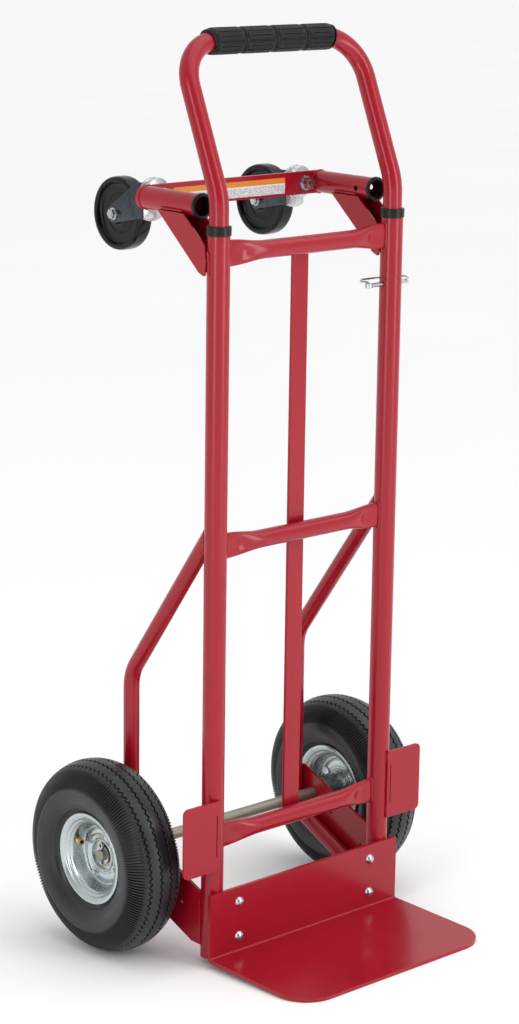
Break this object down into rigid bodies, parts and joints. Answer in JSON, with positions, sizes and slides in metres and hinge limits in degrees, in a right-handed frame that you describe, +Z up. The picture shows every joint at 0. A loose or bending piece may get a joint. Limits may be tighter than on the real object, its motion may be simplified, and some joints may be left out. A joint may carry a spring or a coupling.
{
  "type": "convertible hand truck",
  "caption": "Tubular steel hand truck on pneumatic tyres with a lift-out bent handle, rear sockets, swivel casters and a bolted toe plate.",
  "frame": {"origin": "on the floor, at the middle of the footprint box", "axes": "+Z up, -Y the way the toe plate points, +X across along the axle"},
  "size_m": [0.5242, 0.4763, 1.233],
  "materials": {
    "red_paint": "gloss powder coat",
    "zinc": "bright zinc plate",
    "steel": "drawn bar, oiled",
    "rim_zinc": "zinc plated pressed steel",
    "tyre": "moulded rubber",
    "inner_tube": "butyl rubber",
    "brass": "turned brass",
    "black_plastic": "moulded",
    "grip": "moulded vinyl",
    "caster_tread": "glossy hard rubber",
    "label": "printed film"
  },
  "bodies": {
    "frame": {"axle": "steel", "axle_bracket_left": "red_paint", "axle_bracket_right": "red_paint", "axle_washers": "zinc", "brace_left": "red_paint", "brace_right": "red_paint", "caster_bar": "red_paint", "caster_race_left": "zinc", "caster_race_right": "zinc", "centre_strap": "red_paint", "collar_left": "black_plastic", "collar_right": "black_plastic", "cotter_pins": "zinc", "crossbar_bottom": "red_paint", "crossbar_middle": "red_paint", "crossbar_top": "red_paint", "gusset_left": "red_paint", "gusset_right": "red_paint", "kingpins": "zinc", "label_plate": "label", "socket_bush_left": "black_plastic", "socket_bush_right": "black_plastic", "socket_left": "red_paint", "socket_right": "red_paint", "toe_bolts": "zinc", "toe_nuts": "zinc", "toe_plate": "red_paint", "toe_tabs": "red_paint", "upright_left": "red_paint", "upright_right": "red_paint", "wheel_guard_left": "red_paint", "wheel_guard_right": "red_paint"},
    "handle": {"handle_tube": "red_paint", "grip": "grip"},
    "lock_pin": {"hitch_pin": "zinc"},
    "bail": {"pin_bail": "zinc"},
    "wheel_left": {"tyre_left": "tyre", "inner_tube_left": "inner_tube", "rim_outer_left": "rim_zinc", "rim_inner_left": "rim_zinc", "rim_bolts_left": "zinc", "hub_left": "rim_zinc", "bearings_left": "steel", "valve_stem_left": "brass"},
    "swivel_left": {"caster_fork_left": "zinc", "caster_axle_left": "zinc"},
    "caster_left": {"caster_wheel_left": "caster_tread"},
    "wheel_right": {"tyre_right": "tyre", "inner_tube_right": "inner_tube", "rim_outer_right": "rim_zinc", "rim_inner_right": "rim_zinc", "rim_bolts_right": "zinc", "hub_right": "rim_zinc", "bearings_right": "steel", "valve_stem_right": "brass"},
    "swivel_right": {"caster_fork_right": "zinc", "caster_axle_right": "zinc"},
    "caster_right": {"caster_wheel_right": "caster_tread"}
  },
  "joints": [
    {"name": "handle_lift", "type": "slide", "parent": "frame", "child": "handle", "axis": [0, -0.0404, 0.9992], "range_m": [0, 0.19]},
    {"name": "pin_pull", "type": "slide", "parent": "frame", "child": "lock_pin", "axis": [-1, 0, 0], "range_m": [0, 0.06]},
    {"name": "bail_swing", "type": "hinge", "parent": "lock_pin", "child": "bail", "pos_m": [0.112, -0.06773, 0.8892], "axis": [0, -0.0404, 0.9992], "range_deg": [0, 100]},
    {"name": "wheel_spin_left", "type": "hinge", "parent": "frame", "child": "wheel_left", "pos_m": [-0.221, 0.10618, 0.132], "axis": [1, 0, 0], "continuous": true},
    {"name": "caster_swivel_left", "type": "hinge", "parent": "frame", "child": "swivel_left", "pos_m": [-0.126, 0.07471, 1.01745], "axis": [0, 0.9992, 0.0404], "continuous": true},
    {"name": "caster_spin_left", "type": "hinge", "parent": "swivel_left", "child": "caster_left", "pos_m": [-0.126, 0.1539, 0.98962], "axis": [1, 0, 0], "continuous": true},
    {"name": "wheel_spin_right", "type": "hinge", "parent": "frame", "child": "wheel_right", "pos_m": [0.221, 0.10618, 0.132], "axis": [1, 0, 0], "continuous": true},
    {"name": "caster_swivel_right", "type": "hinge", "parent": "frame", "child": "swivel_right", "pos_m": [0.126, 0.07471, 1.01745], "axis": [0, 0.9992, 0.0404], "continuous": true},
    {"name": "caster_spin_right", "type": "hinge", "parent": "swivel_right", "child": "caster_right", "pos_m": [0.126, 0.1539, 0.98962], "axis": [1, 0, 0], "continuous": true}
  ],
  "couplings": [
    {"joint": "bail_swing", "follows": "pin_pull", "rad_per_m": 28.5}
  ]
}
